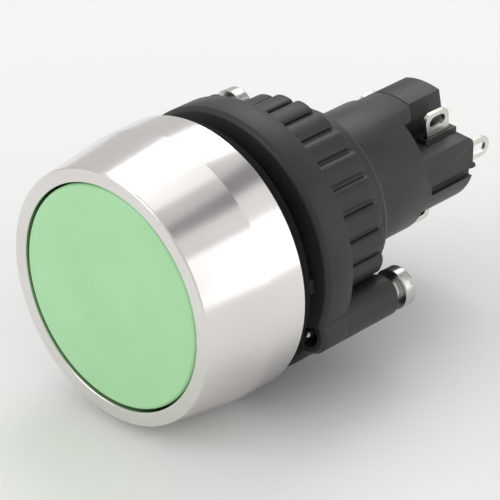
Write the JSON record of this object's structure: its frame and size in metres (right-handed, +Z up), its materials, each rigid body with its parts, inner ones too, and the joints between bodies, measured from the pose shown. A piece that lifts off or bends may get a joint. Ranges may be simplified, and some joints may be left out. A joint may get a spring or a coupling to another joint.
{
  "type": "pushbutton switch",
  "caption": "Round panel pushbutton switch with a flush spring-return button in a tapered metal bezel, a clamping ring with side screws behind the panel, and solder terminals.",
  "frame": {"origin": "on the button axis, in the plane of the seal face that lies on the front of the panel", "axes": "+Y along the button axis towards the terminals, so the button faces -Y; +Z up; +X towards the housing's lug"},
  "size_m": [0.0295, 0.0508, 0.0294],
  "materials": {
    "satin_metal": "turned and satin plated",
    "green_plastic": "translucent moulded, glossy",
    "white_plate": "plain white sheet",
    "black_rubber": "matt elastomer",
    "black_plastic": "fine moulded texture",
    "grey_plastic": "natural moulding",
    "pale_plastic": "low-friction moulding",
    "nickel_steel": "nickel plated",
    "spring_steel": "drawn wire",
    "tinned_brass": "tinned strip",
    "contact_bronze": "rolled strip",
    "contact_silver": "silver contact metal"
  },
  "bodies": {
    "switch": {"front_bezel": "satin_metal", "panel_seal": "black_rubber", "actuator_housing": "black_plastic", "clamping_ring": "black_plastic", "ring_washer": "black_plastic", "clamp_screws": "nickel_steel", "switch_body": "black_plastic", "terminal_base": "black_plastic", "terminal_nc_right": "tinned_brass", "terminal_nc_left": "tinned_brass", "terminal_no_right": "tinned_brass", "terminal_no_left": "tinned_brass", "terminal_com_right": "tinned_brass", "terminal_com_left": "tinned_brass", "fixed_rivets": "contact_silver", "return_spring": "spring_steel", "slide_spring": "spring_steel"},
    "button": {"button_cap": "green_plastic", "marking_plate": "white_plate", "button_carrier": "grey_plastic", "plunger": "pale_plastic", "plunger_oring": "black_rubber", "contact_slide": "grey_plastic", "moving_contact_right": "contact_bronze", "moving_contact_left": "contact_bronze", "moving_rivets": "contact_silver"}
  },
  "joints": [
    {"name": "button_press", "type": "slide", "parent": "switch", "child": "button", "axis": [0, 1, 0], "range_m": [0, 0.003], "stiffness_N_per_m": 1000, "springref_m": -0.002, "deforming": ["return_spring", "slide_spring"]}
  ]
}
